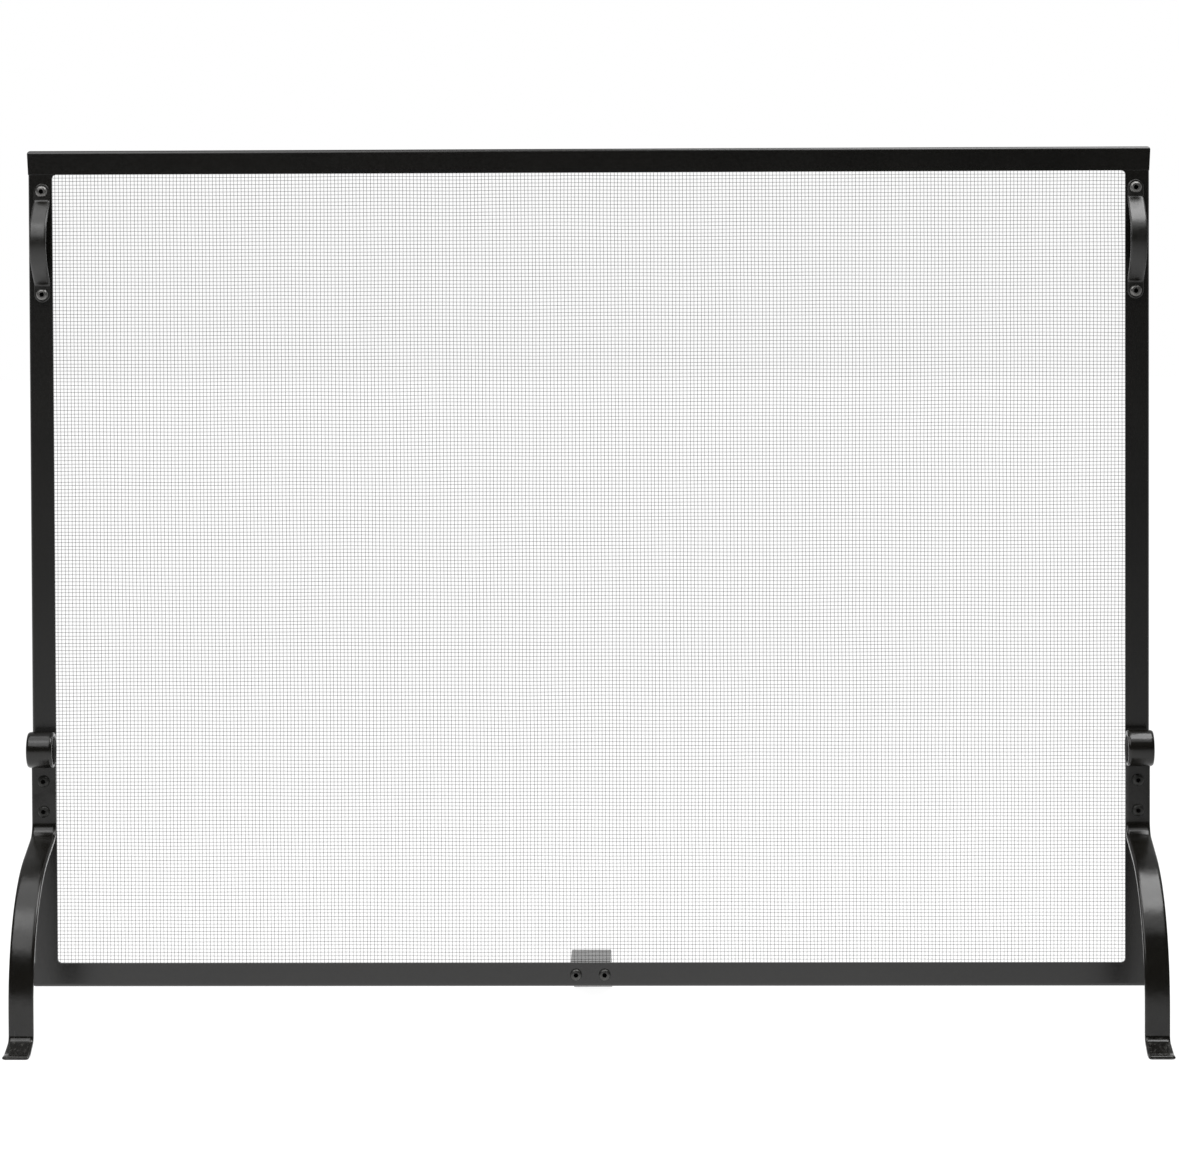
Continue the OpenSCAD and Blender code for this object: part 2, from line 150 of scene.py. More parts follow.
class Finish(Shading):
    """A material whose patterns follow the piece's own coordinates."""

    def __init__(self, name):
        self.material = bpy.data.materials.new(name)
        self.material.use_nodes = True
        super().__init__(self.material.node_tree)
        self.shader = self.nodes["Principled BSDF"]
        self.place = self.add("ShaderNodeTexCoord").outputs["Object"]

    def noise(self, scale, detail=2.0, roughness=0.5, stretch=None):
        """Noise with about `scale` grains to the metre; stretch squeezes it along X, Y and Z."""
        place = self.place
        if stretch:
            mapping = self.add("ShaderNodeMapping")
            mapping.inputs["Scale"].default_value = stretch
            self.join(place, mapping.inputs["Vector"])
            place = mapping.outputs["Vector"]
        grain = self.add("ShaderNodeTexNoise")
        grain.inputs["Scale"].default_value = scale
        grain.inputs["Detail"].default_value = detail
        grain.inputs["Roughness"].default_value = roughness
        self.join(place, grain.inputs["Vector"])
        return grain.outputs["Fac"]

    def drift(self, low, high, **grain):
        """A colour that drifts between low and high with the noise."""
        return self.blend(self.range(self.noise(**grain), 0, 1), (*low, 1), (*high, 1))

    def blend(self, value, low, high):
        """A colour between low and high, each a colour with alpha or a socket."""
        node = self.add("ShaderNodeMix", data_type="RGBA")
        self.give(low, node.inputs["A"])
        self.give(high, node.inputs["B"])
        self.join(value, node.inputs["Factor"])
        return node.outputs["Result"]

    def bump(self, height, depth, under=None):
        """Bump of the given depth in metres, over the bump `under`."""
        node = self.add("ShaderNodeBump")
        node.inputs["Distance"].default_value = depth
        self.join(height, node.inputs["Height"])
        if under:
            self.join(under, node.inputs["Normal"])
        return node.outputs["Normal"]

    def foot_wear(self):
        """Scuffs that show only close to the floor."""
        near = self.range(self.axes(self.place)["Z"], 1, 0, start=SCUFF_FULL, stop=SCUFF_END)
        grain = self.noise(scale=330, detail=3, roughness=0.7, stretch=(1.0, 0.4, 1.0))
        return self.maths("MULTIPLY", near, self.range(grain, 0, 1, start=0.52, stop=0.66))

    def made(self, colour, rough, normal=None, **values):
        """Joins the patterns to the shader, sets its even values and returns the material."""
        self.join(colour, self.shader.inputs["Base Color"])
        self.join(rough, self.shader.inputs["Roughness"])
        if normal:
            self.join(normal, self.shader.inputs["Normal"])
        for key, value in values.items():
            self.shader.inputs[key.replace("_", " ")].default_value = value
        return self.material


# ---------------------------------------------------------------- materials
# Heights in m between which the scuffs fade out
SCUFF_FULL, SCUFF_END = 0.010, 0.018
# Depths of the bumps
FRAME_PEEL, BAR_PEEL, FORGED_PEEL = 0.008 * MM, 0.024 * MM, 0.012 * MM
HAMMER_WAVES, OXIDE_GRIT = 0.22 * MM, 0.010 * MM

FORGED_DARK, FORGED_LIGHT = (0.0036, 0.0033, 0.0026), (0.0070, 0.0064, 0.0051)
WIRE_DARK, WIRE_LIGHT = (0.018, 0.018, 0.017), (0.036, 0.036, 0.034)
# Worn steel that shows through the coat, and the near-black painted shade inside screw sockets
WORN_STEEL, SOCKET_SHADE = (0.040, 0.039, 0.036, 1), (0.0015, 0.0014, 0.0012, 1)

# 1 on the points inside a screw's socket, where the oxide gets painted shade, 0 elsewhere
RECESS = "recess"


def coated_steel(name, dark, light, rough, peel_depth, specular=0.5):
    """Satin powder coat: a faint drift in colour, an even sheen and a fine orange peel."""
    finish = Finish(name)
    colour = finish.drift(dark, light, scale=14, detail=3)
    sheen = finish.range(finish.noise(scale=420), *rough)
    peel = finish.bump(finish.noise(scale=900), peel_depth)
    return finish.made(colour, sheen, peel, Specular_IOR_Level=specular)


def forged_steel(name, rough, specular):
    """The same coat over forged strap: long hammer waves, scale and a few scratches show through."""
    finish = Finish(name)
    coat = finish.drift(FORGED_DARK, FORGED_LIGHT, scale=22, detail=4)
    grain = finish.noise(scale=260, detail=3, roughness=0.6, stretch=(1.0, 0.12, 0.12))
    scratch = finish.range(grain, 0, 1, start=0.70, stop=0.78)
    worn = finish.maths("MAXIMUM", scratch, finish.foot_wear())
    sheen = finish.range(finish.noise(scale=160, detail=3), *rough)
    waves = finish.bump(finish.noise(scale=70), HAMMER_WAVES)
    peel = finish.bump(finish.noise(scale=800), FORGED_PEEL, waves)
    return finish.made(finish.blend(worn, coat, WORN_STEEL), sheen, peel, Specular_IOR_Level=specular)


def wire_paint():
    """Thin black paint on drawn wire, worn a little greyer here and there."""
    finish = Finish("wire_paint")
    colour = finish.drift(WIRE_DARK, WIRE_LIGHT, scale=30, detail=4, roughness=0.6)
    sheen = finish.range(finish.noise(scale=1500), 0.35, 0.6)
    return finish.made(colour, sheen, Specular_IOR_Level=0.3)


def black_oxide(name, dark, light, rough, metallic):
    """Black oxide on the screws, bolts, studs and nuts; their sockets are painted near-black as shade and
    made dull.
    """
    finish = Finish(name)
    # The socket mask paints shade: a near-black colour and a dull roughness inside each socket
    socket_shade = finish.add("ShaderNodeAttribute", attribute_name=RECESS).outputs["Fac"]
    oxide = finish.drift(dark, light, scale=500, detail=3)
    sheen = finish.range(finish.noise(scale=900), *rough)
    grit = finish.bump(finish.noise(scale=2600), OXIDE_GRIT)
    dull = finish.maths("MAXIMUM", sheen, socket_shade)
    return finish.made(finish.blend(socket_shade, oxide, SOCKET_SHADE), dull, grit, Metallic=metallic)


FRAME_COAT = coated_steel(
    "frame_coat", dark=(0.0018, 0.0016, 0.0011), light=(0.0036, 0.0033, 0.0025),
    rough=(0.20, 0.26), peel_depth=FRAME_PEEL, specular=0.6)
BAR_COAT = coated_steel(
    "bar_coat", dark=(0.006, 0.006, 0.0055), light=(0.013, 0.012, 0.011),
    rough=(0.34, 0.46), peel_depth=BAR_PEEL)
LEG_COAT = forged_steel("leg_coat", rough=(0.18, 0.24), specular=0.45)
HANDLE_COAT = forged_steel("handle_coat", rough=(0.28, 0.36), specular=0.62)
WIRE = wire_paint()
# One black oxide in three brightnesses, painted for how the light falls on each place: lighter on the handle
# screws, nuts and studs, darker on the rear foot's screws, and darkest, as painted shade, on the leg bolts,
# which are also rougher
OXIDE = black_oxide(
    "black_oxide", dark=(0.13, 0.13, 0.125), light=(0.20, 0.195, 0.19), rough=(0.28, 0.40), metallic=0.85)
SHADED_REAR_OXIDE = black_oxide(
    "shaded_rear_oxide", dark=(0.05, 0.05, 0.048), light=(0.08, 0.079, 0.076), rough=(0.30, 0.42), metallic=0.8)
DULL_SHADED_OXIDE = black_oxide(
    "dull_shaded_oxide", dark=(0.008, 0.008, 0.007), light=(0.020, 0.020, 0.018), rough=(0.40, 0.52), metallic=0.3)


# ---------------------------------------------------------------- making and keeping pieces
# Points of a CAD mesh, and of a nut, that lie closer than this are one point
MERGE, NUT_MERGE = 0.002 * MM, 0.001 * MM


def piece_of(name, mesh, material, slot, *nodes):
    """Puts a finished mesh in the scene as a piece that stands for CAD nodes."""
    piece = bpy.data.objects.new(name, mesh)
    bpy.context.scene.collection.objects.link(piece)
    mesh.materials.clear()
    mesh.materials.append(material)
    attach(piece, "root")
    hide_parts(*nodes)
    return piece


def plain_mesh(thing):
    """The evaluated shape of an object as a plain mesh; the object is removed."""
    graph = bpy.context.evaluated_depsgraph_get()
    mesh = bpy.data.meshes.new_from_object(thing.evaluated_get(graph))
    bpy.data.objects.remove(thing)
    return mesh


def shell(rings, name, close_ends=True):
    """A closed skin over rings of equal point counts."""
    skin = bmesh.new()
    rows = [[skin.verts.new(point) for point in ring] for ring in rings]
    for low, high in zip(rows, rows[1:]):
        for i in range(len(low)):
            j = (i + 1) % len(low)
            skin.faces.new((low[i], low[j], high[j], high[i]))
    if close_ends:
        skin.faces.new(list(reversed(rows[0])))
        skin.faces.new(rows[-1])
    bmesh.ops.recalc_face_normals(skin, faces=skin.faces)
    mesh = bpy.data.meshes.new(name)
    skin.to_mesh(mesh)
    skin.free()
    mesh.shade_smooth()
    return mesh


def merged_copy(node):
    """The CAD node's mesh for editing, with its doubled points merged."""
    work = bmesh.new()
    work.from_mesh(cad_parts[node].data)
    bmesh.ops.remove_doubles(work, verts=work.verts, dist=MERGE)
    return work


# ---------------------------------------------------------------- frame and bars
EDGE_ROUND, BAR_ROUND, ROUND_STEPS = 0.5 * MM, 0.3 * MM, 2
FLAT_ANGLE, SHARP_ANGLE = math.radians(0.5), math.radians(40)
# A rail below this height is the bottom one
RAIL_SPLIT_Z = 0.3


def grind_rail_ends(work, stile_x):
    """Grinds a rail's ends from full length at its outer edge back to the stile's width at its inner edge."""
    heights = [vert.co.z for vert in work.verts]
    bottom, top = min(heights), max(heights)
    outer = bottom if bottom < RAIL_SPLIT_Z else top
    for vert in work.verts:
        if abs(vert.co.x) > stile_x:
            out = 1 - abs(vert.co.z - outer) / (top - bottom)
            vert.co.x = math.copysign(stile_x + (abs(vert.co.x) - stile_x) * out, vert.co.x)


def eased_copy(node, width, stile_x=None):
    """A merged copy of a CAD solid with its sharp edges eased, and its ends ground where stile_x is given."""
    work = merged_copy(node)
    bmesh.ops.dissolve_limit(work, angle_limit=FLAT_ANGLE, verts=work.verts, edges=work.edges)
    if stile_x:
        grind_rail_ends(work, stile_x)
    mesh = bpy.data.meshes.new(node + "_eased")
    work.to_mesh(mesh)
    work.free()
    mesh.shade_smooth()
    copy = bpy.data.objects.new(node + "_eased", mesh)
    bpy.context.scene.collection.objects.link(copy)
    bevel = copy.modifiers.new("ease", "BEVEL")
    bevel.width, bevel.segments = width, ROUND_STEPS
    bevel.limit_method, bevel.angle_limit = "ANGLE", SHARP_ANGLE
    bevel.use_clamp_overlap = True
    even = copy.modifiers.new("even", "WEIGHTED_NORMAL")
    even.keep_sharp = True
    return plain_mesh(copy)


def frame_members():
    """The welded frame's rails and stiles, and the bars that clamp the wire behind it."""
    stile_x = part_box("right_stile")[1].x
    for node in ("top_rail", "bottom_rail"):
        piece_of(node + "_coated", eased_copy(node, EDGE_ROUND, stile_x), FRAME_COAT, "frame_steel", node)
    for node in ("left_stile", "right_stile"):
        piece_of(node + "_coated", eased_copy(node, EDGE_ROUND), FRAME_COAT, "frame_steel", node)
    for node in ("top_bar", "bottom_bar", "left_bar", "right_bar"):
        piece_of(node + "_coated", eased_copy(node, BAR_ROUND), BAR_COAT, "frame_steel", node)


# ---------------------------------------------------------------- straps
# Turns in degrees at which a section's corners and a strap's ends are sampled
CORNER_TURNS = (0, 15, 30, 45, 60, 75, 90)
END_TURNS = (0, 30, 60, 90)
# Shares of a face's width at which it has points
FACE_POINTS = (0.06, 0.25, 0.5, 0.75, 0.94)
# The largest share of the half width and of the thickness that a section's corners may take
MOST_EASE, MOST_FALL = 0.9, 0.49
# The same for the rounding of a strap's ends
MOST_END_T, MOST_END_W = 0.42, 0.8
# Length of a hammer wave, in mm
WAVE_LENGTH = 19.0


def walk(start, steps, pace, arc_pace):
    """Points [y, z, heading, run] along straights and bends.

    Each step is a length, a turn and the turn's radius, in mm and degrees."""
    points = [list(start) + [0.0]]
    for length, turn, radius in steps:
        y, z, head, run = points[-1]
        count = max(1, round(length / pace))
        for i in range(1, count + 1):
            part = length * i / count
            if part > 0:
                points.append([y + part * math.cos(head), z + part * math.sin(head), head, run + part])
        if turn:
            y, z, head, run = points[-1]
            angle, side = math.radians(turn), math.copysign(1, turn)
            count = max(2, math.ceil(abs(turn) / arc_pace))
            for i in range(1, count + 1):
                now = head + angle * i / count
                points.append([
                    y + side * radius * (math.sin(now) - math.sin(head)),
                    z - side * radius * (math.cos(now) - math.cos(head)),
                    now,
                    run + abs(angle) * radius * i / count,
                ])
    return points


def at_run(path, run):
    """Place and heading at a run along a walked path."""
    for a, b in zip(path, path[1:]):
        if run <= b[3]:
            t = (run - a[3]) / (b[3] - a[3]) if b[3] > a[3] else 0.0
            return tuple(a[i] + (b[i] - a[i]) * t for i in range(3))
    return tuple(path[-1][:3])


def smooth_step(t):
    """0 below 0, 1 above 1, and a smooth rise between."""
    t = min(1.0, max(0.0, t))
    return t * t * (3 - 2 * t)


def strap_ring(half, thick, edge):
    """Section of a strap from -half to half and 0 to thick; edge is how far its corners ease in and down."""
    ease, fall = min(edge[0], half * MOST_EASE), min(edge[1], thick * MOST_FALL)
    ring = []
    corners = (
        (half - ease, fall, -90), (half - ease, thick - fall, 0),
        (ease - half, thick - fall, 90), (ease - half, fall, 180),
    )
    for x, v, first in corners:
        for turn in CORNER_TURNS:
            a = math.radians(first + turn)
            ring.append((x + ease * math.cos(a), v + fall * math.sin(a)))
        if first in (0, 180):
            inner = half - ease
            side = 1 if first == 0 else -1
            flat_v = thick if first == 0 else 0.0
            ring += [(side * inner * (1 - 2 * t), flat_v) for t in FACE_POINTS]
    return ring


def strap(name, path, thick, half, edge, side, middle, wave, end_round):
    """A strap with one face on the path and its thickness on the given side of it, in mm.

    thick and half are functions of the run along the path, middle is its place across, wave the
    height of its hammer waves, and end_round the radius that rounds its two ends."""
    total = path[-1][3]
    stations = []
    for at_start in (True, False):
        for turn in END_TURNS:
            inset = end_round * (1 - math.sin(math.radians(turn)))
            squeeze = end_round * (1 - math.cos(math.radians(turn)))
            stations.append((inset if at_start else total - inset, squeeze))
    inner = [(p[3], 0.0) for p in path if end_round < p[3] < total - end_round]
    stations = sorted(stations + inner)
    rings = []
    for run, squeeze in stations:
        y, z, head = at_run(path, run)
        t, w = thick(run), half(run)
        squeeze = min(squeeze, t * MOST_END_T, w * MOST_END_W)
        ring = []
        for u, v in strap_ring(w - squeeze, t - 2 * squeeze, edge):
            v += squeeze
            px, py, pz = u + middle, y - side * v * math.sin(head), z + side * v * math.cos(head)
            swell = noise.noise(Vector((px, py, pz)) / WAVE_LENGTH) * wave * min(1.0, v / t)
            py -= side * swell * math.sin(head)
            pz += side * swell * math.cos(head)
            ring.append(Vector((px, py, max(pz, 0.0))) * MM)
        rings.append(ring)
    return shell(rings, name)


# Leg, in mm, as the CAD solid is made
LEG_T, LEG_TIP_T, LEG_W, EYE_W, TOE_W = 5.0, 3.2, 21.4, 22.8, 22.8
KINK_R, LEG_SLOPE, SWEEP_R = 18.0, 17.5, 118.0
HEEL_R, TOE_RAMP, TOE_LIFT, FRONT_TOE = 10.0, 16.0, 18.0, 9.0
EYE_D, EYE_TURN, EYE_RISE, KINK_DROP = 32.0, 304.0, 29.4, 9.6
# How long it takes to widen below the eye, how its corners ease, its waves and its rounded ends
EYE_FLARE, LEG_EDGE, LEG_WAVE, LEG_END_R = 22, (3.2, 1.5), 0.22, 1.2
# Distance between sections along a straight, and degrees between them in a bend
LEG_PACE, LEG_ARC_PACE = 4.0, 5.0


def leg_bolt_heights():
    """Heights of a leg's lower and upper bolt, in mm."""
    low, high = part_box("left_leg_bolts")
    head = (high.x - low.x) / 2 / MM
    return low.z / MM + head, high.z / MM - head


def leg(side_name):
    """Flat toe, heel, long sweep, the bend onto the stile and the rolled eye."""
    reach = (front_y - leg_low.y) / MM
    low_bolt, high_bolt = leg_bolt_heights()
    kink_z, eye_z = low_bolt - KINK_DROP, high_bolt + EYE_RISE
    slope, lift = math.radians(LEG_SLOPE), math.radians(TOE_LIFT)
    turn = 90 - LEG_SLOPE
    foot_depth = FRONT_TOE + TOE_RAMP * math.cos(lift) + HEEL_R
    foot_rise = TOE_RAMP * math.sin(lift) + HEEL_R
    straight = (reach - (KINK_R + SWEEP_R) * (1 - math.sin(slope)) - foot_depth) / math.cos(slope)
    rise = kink_z - (KINK_R + SWEEP_R) * math.cos(slope) - straight * math.sin(slope) - foot_rise
    steps = (
        (FRONT_TOE, TOE_LIFT, HEEL_R), (TOE_RAMP, 90 - TOE_LIFT, HEEL_R), (rise, -turn, SWEEP_R),
        (straight, turn, KINK_R), (eye_z - kink_z, EYE_TURN, EYE_D / 2),
    )
    path = walk((-reach + front_y / MM, 0.0, 0.0), steps, LEG_PACE, LEG_ARC_PACE)
    total = path[-1][3]
    eye_run = math.radians(EYE_TURN) * EYE_D / 2
    toe_run = FRONT_TOE + TOE_RAMP + HEEL_R

    def thick(run):
        return LEG_TIP_T + (LEG_T - LEG_TIP_T) * min(1.0, run / toe_run, (total - run) / eye_run)

    def half(run):
        toe_part = 1 - smooth_step(run / toe_run)
        eye_part = smooth_step((run - (total - eye_run - EYE_FLARE)) / EYE_FLARE)
        return (LEG_W + (TOE_W - LEG_W) * toe_part + (EYE_W - LEG_W) * eye_part) / 2

    low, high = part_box(side_name + "_leg")
    middle = (low.x + high.x) / 2 / MM
    mesh = strap(side_name + "_leg", path, thick, half, LEG_EDGE, 1, middle, LEG_WAVE, LEG_END_R)
    piece_of(side_name + "_leg_forged", mesh, LEG_COAT, "forged_steel", side_name + "_leg")


# Handle, in mm
HANDLE_T, HANDLE_W, HANDLE_END_W, PAD_D, PAD_IN, PAD_R = 3.0, 14.4, 13.8, 14.0, 7.0, 6.0
PAD_TIP_HALF = 0.5
# The bow's slope in degrees where it leaves its pads, and where its crown begins
BOW_STEEP, BOW_SHOULDER = 51.0, 44.0
HANDLE_EDGE, HANDLE_WAVE, HANDLE_END_R = (2.0, 0.9), 0.1, 0.4
HANDLE_PACE, HANDLE_ARC_PACE = 1.2, 4.0


def handle(side_name):
    """Two round pads and, between them, a bow of two arms and a crown of tighter bend."""
    low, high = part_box(side_name + "_handle")
    top = high.z / MM
    reach = (front_y - low.y) / MM
    span = (high.z - low.z) / MM - PAD_D
    steep, shoulder = math.radians(BOW_STEEP), math.radians(BOW_SHOULDER)
    along = span / 2 - PAD_IN - PAD_R * math.sin(steep)
    out = reach - HANDLE_T - PAD_R * (1 - math.cos(steep))
    arm_along, arm_out = math.sin(steep) - math.sin(shoulder), math.cos(shoulder) - math.cos(steep)
    crown_along, crown_out = math.sin(shoulder), 1 - math.cos(shoulder)
    scale = arm_along * crown_out - crown_along * arm_out
    arm_r = (along * crown_out - out * crown_along) / scale
    crown_r = (arm_along * out - arm_out * along) / scale
    arm = BOW_STEEP - BOW_SHOULDER
    pad = PAD_D / 2 + PAD_IN
    steps = (
        (pad, -BOW_STEEP, PAD_R), (0, arm, arm_r), (0, 2 * BOW_SHOULDER, crown_r),
        (0, arm, arm_r), (0, -BOW_STEEP, PAD_R), (pad, 0, 0),
    )
    path = walk((front_y / MM, top, -math.pi / 2), steps, HANDLE_PACE, HANDLE_ARC_PACE)
    total = path[-1][3]

    def thick(run):
        return HANDLE_T

    def half(run):
        near = min(run, total - run)
        if near < PAD_D / 2:
            return max(PAD_TIP_HALF, math.sqrt((PAD_D / 2) ** 2 - (PAD_D / 2 - near) ** 2))
        bow = HANDLE_END_W + (HANDLE_W - HANDLE_END_W) * math.sin(math.pi * run / total)
        neck = smooth_step((near - PAD_D / 2) / PAD_IN)
        return (PAD_D + (bow - PAD_D) * neck) / 2

    middle = (low.x + high.x) / 2 / MM
    mesh = strap(
        side_name + "_handle", path, thick, half, HANDLE_EDGE, -1, middle, HANDLE_WAVE, HANDLE_END_R)
    piece_of(side_name + "_handle_forged", mesh, HANDLE_COAT, "forged_steel", side_name + "_handle")


# Rear foot, in mm
REAR_T, REAR_BEND_R, REAR_SLOPE, KNEE_R, ANKLE_R, REAR_TOE = 4.0, 8.0, 30.0, 24.0, 20.0, 8.0
# How far its lower end is above the bottom rail's underside, and the radius of its toe's corners
REAR_RAISED, REAR_TOE_R = 3.6, 4.0
REAR_EDGE, REAR_WAVE, REAR_END_R = (1.0, 1.0), 0.12, 1.0
REAR_PACE, REAR_ARC_PACE = 3.0, 6.0


def rear_foot():
    """A strap up the back of the bottom rail, level over it, down its slope and out to a flat toe."""
    top, bottom, reach = rear_high.z / MM, rear_low.z / MM, rear_high.y / MM
    start_z = base_low.z / MM + REAR_RAISED
    slope = math.radians(REAR_SLOPE)
    drop = top - REAR_T - bottom
    slope_run = (drop - (KNEE_R + ANKLE_R) * (1 - math.cos(slope))) / math.sin(slope)
    slope_depth = (KNEE_R + ANKLE_R) * math.sin(slope) + slope_run * math.cos(slope)
    level = reach - REAR_TOE - slope_depth - rear_low.y / MM - REAR_BEND_R
    steps = (
        (top - REAR_BEND_R - start_z, -90, REAR_BEND_R), (level, -REAR_SLOPE, KNEE_R),
        (slope_run, REAR_SLOPE, ANKLE_R), (REAR_TOE, 0, 0),
    )
    path = walk((rear_low.y / MM, start_z, math.pi / 2), steps, REAR_PACE, REAR_ARC_PACE)
    total = path[-1][3]
    width = (rear_high.x - rear_low.x) / MM

    def thick(run):
        return REAR_T

    def half(run):
        past = max(0.0, run - (total - REAR_TOE_R))
        return width / 2 - REAR_TOE_R + math.sqrt(max(0.0, REAR_TOE_R ** 2 - past ** 2))

    mesh = strap("rear_foot", path, thick, half, REAR_EDGE, -1, 0.0, REAR_WAVE, REAR_END_R)
    piece_of("rear_foot_forged", mesh, LEG_COAT, "forged_steel", "rear_foot")


# ---------------------------------------------------------------- fasteners
# Points around a fastener, and the angle in degrees above which its edges stay sharp
AROUND, CREASE = 24, 38
# Depth of a thread, in mm
THREAD_DEPTH = 0.22

# Button-head screw, in mm: the shaft, the head, the flat round its socket and the socket
SCREW_R, SCREW_PITCH, SHANK_END, THREAD_END = 3.0, 1.0, 0.6, 1.0
TIP_R, TIP_SHOULDER_R, TIP_H = SCREW_R - 0.7, SCREW_R - 0.1, 0.6
HEAD_R, HEAD_H, RIM_H, CROWN_R = 5.25, 3.3, 0.8, 2.4
HEAD_EASE, RIM_EASE = 0.15, 0.1
SOCKET_MOUTH, SOCKET_FLATS, SOCKET_TIP = 4.0, 3.7, 0.4
SOCKET_LIP, SOCKET_DEPTH, SOCKET_END = 0.2, 2.0, 3.1
# Rings in the head's dome, and how steeply it falls to the rim
DOME_RINGS, DOME_FALL = 7, 0.85

# Hexagon nuts, in mm: across the flats, height and bore
BIG_NUT, SMALL_NUT = (9.9, 5.0, 3.05), (6.9, 3.2, 2.05)
# How far a nut's chamfered corners reach, where its chamfers end, and its bore's chamfer
NUT_CORNER, NUT_CHAMFER_LOW, NUT_CHAMFER_HIGH, BORE_CHAMFER = 1.04, 0.1, 0.86, 0.35

# Stud, in mm
STUD_R, STUD_PITCH, STUD_PLAIN, STUD_TIP_H, STUD_TIP_IN = 2.0, 0.7, 1.2, 0.5, 0.5

# How far fasteners may be turned, in radians: all the way, or a nut's small share
ANY_TURN, NUT_TURN = 6.28, 0.9
# Seeds of the fasteners' turns
SCREW_SEED, NUT_SEED, STUD_SEED, BAR_NUT_SEED = 3, 20, 31, 32


def round_ring(radius, y):
    step = 2 * math.pi / AROUND
    return [Vector((radius * math.cos(i * step), y, radius * math.sin(i * step))) * MM for i in range(AROUND)]


def hex_ring(flats, y, cap=None):
    """A hexagon sampled at the same angles as round_ring; cap limits how far its corners reach."""
    ring = []
    for i in range(AROUND):
        angle = 2 * math.pi * i / AROUND
        off = (angle + math.pi / 6) % (math.pi / 3) - math.pi / 6
        reach = flats / 2 / math.cos(off)
        if cap:
            reach = min(reach, cap)
        ring.append(Vector((reach * math.cos(angle), y, reach * math.sin(angle))) * MM)
    return ring


def thread_rings(radius, start, stop, pitch):
    """Rings of a thread's crests and roots from start to stop."""
    count = max(1, int(abs(stop - start) / (pitch / 2)))
    rings = []
    for i in range(count + 1):
        y = start + (stop - start) * i / count
        rings.append(round_ring(radius - (0.0 if i % 2 else THREAD_DEPTH), y))
    return rings


def button_screw_mesh(length):
    """Button-head socket screw with its head's underside at y = 0 and its thread running back."""
    rings = [round_ring(TIP_R, length), round_ring(TIP_SHOULDER_R, length - TIP_H)]
    rings += thread_rings(SCREW_R, length - TIP_H, THREAD_END, SCREW_PITCH)
    rings += [
        round_ring(SCREW_R, SHANK_END), round_ring(SCREW_R, 0.0), round_ring(HEAD_R - HEAD_EASE, 0.0),
        round_ring(HEAD_R, -HEAD_EASE), round_ring(HEAD_R, -RIM_H + RIM_EASE),
    ]
    for k in range(1, DOME_RINGS + 1):
        t = k / DOME_RINGS
        r = CROWN_R + (HEAD_R - CROWN_R) * math.cos(t * math.pi / 2) ** DOME_FALL
        y = -RIM_H - (HEAD_H - RIM_H) * math.sin(t * math.pi / 2)
        rings.append(round_ring(r if k < DOME_RINGS else CROWN_R, y))
    rings.append(hex_ring(SOCKET_MOUTH, -HEAD_H))
    outside = len(rings) * AROUND
    rings += [
        hex_ring(SOCKET_FLATS, -HEAD_H + SOCKET_LIP), hex_ring(SOCKET_FLATS, -HEAD_H + SOCKET_DEPTH),
        hex_ring(SOCKET_TIP, -HEAD_H + SOCKET_END),
    ]
    mesh = shell(rings, "button_screw")
    # The socket's points, which black_oxide paints dark as shade
    recess = mesh.attributes.new(RECESS, "FLOAT", "POINT")
    for i in range(outside, len(mesh.vertices)):
        recess.data[i].value = 1.0
    return mesh


def nut_mesh(flats, height, bore):
    """Hexagon nut with its bearing face at y = 0, chamfered on both faces."""
    cap = flats / 2 * NUT_CORNER
    rings = [
        round_ring(bore + BORE_CHAMFER, 0.0), hex_ring(flats, 0.0, cap),
        hex_ring(flats, height * NUT_CHAMFER_LOW), hex_ring(flats, height * NUT_CHAMFER_HIGH),
        hex_ring(flats, height, cap), round_ring(bore + BORE_CHAMFER, height),
        round_ring(bore, height - BORE_CHAMFER), round_ring(bore, BORE_CHAMFER),
    ]
    rings.append(rings[0])
    mesh = shell(rings, "nut", close_ends=False)
    work = bmesh.new()
    work.from_mesh(mesh)
    bmesh.ops.remove_doubles(work, verts=work.verts, dist=NUT_MERGE)
    bmesh.ops.recalc_face_normals(work, faces=work.faces)
    work.to_mesh(mesh)
    work.free()
    return mesh


def stud_mesh(length):
    """Threaded stud from y = 0, with a tapered tip."""
    rings = [round_ring(STUD_R, 0.0)] + thread_rings(STUD_R, STUD_PLAIN, length - STUD_TIP_H, STUD_PITCH)
    rings.append(round_ring(STUD_R - STUD_TIP_IN, length))
    return shell(rings, "stud")


def new_tree(name, sockets):
    """A geometry tree with the named inputs, its input node, and a call that adds nodes."""
    tree = bpy.data.node_groups.new(name, "GeometryNodeTree")
    tree.interface.new_socket("Geometry", in_out="OUTPUT", socket_type="NodeSocketGeometry")
    tree.interface.new_socket("Geometry", in_out="INPUT", socket_type="NodeSocketGeometry")
    for socket, kind in sockets:
        tree.interface.new_socket(socket, in_out="INPUT", socket_type="NodeSocket" + kind)
    source = tree.nodes.new("NodeGroupInput")

    def add(kind, settings=None, **inputs):
        """Adds a node; n0 and n1 name its inputs by number, other keys by their name."""
        node = tree.nodes.new(kind)
        for key, value in (settings or {}).items():
            setattr(node, key, value)
        for key, value in inputs.items():
            numbered = key[0] == "n" and key[1:].isdigit()
            target = node.inputs[int(key[1:]) if numbered else key.replace("_", " ")]
            if isinstance(value, bpy.types.NodeSocket):
                tree.links.new(value, target)
            else:
                target.default_value = value
        return node

    return tree, source.outputs, add


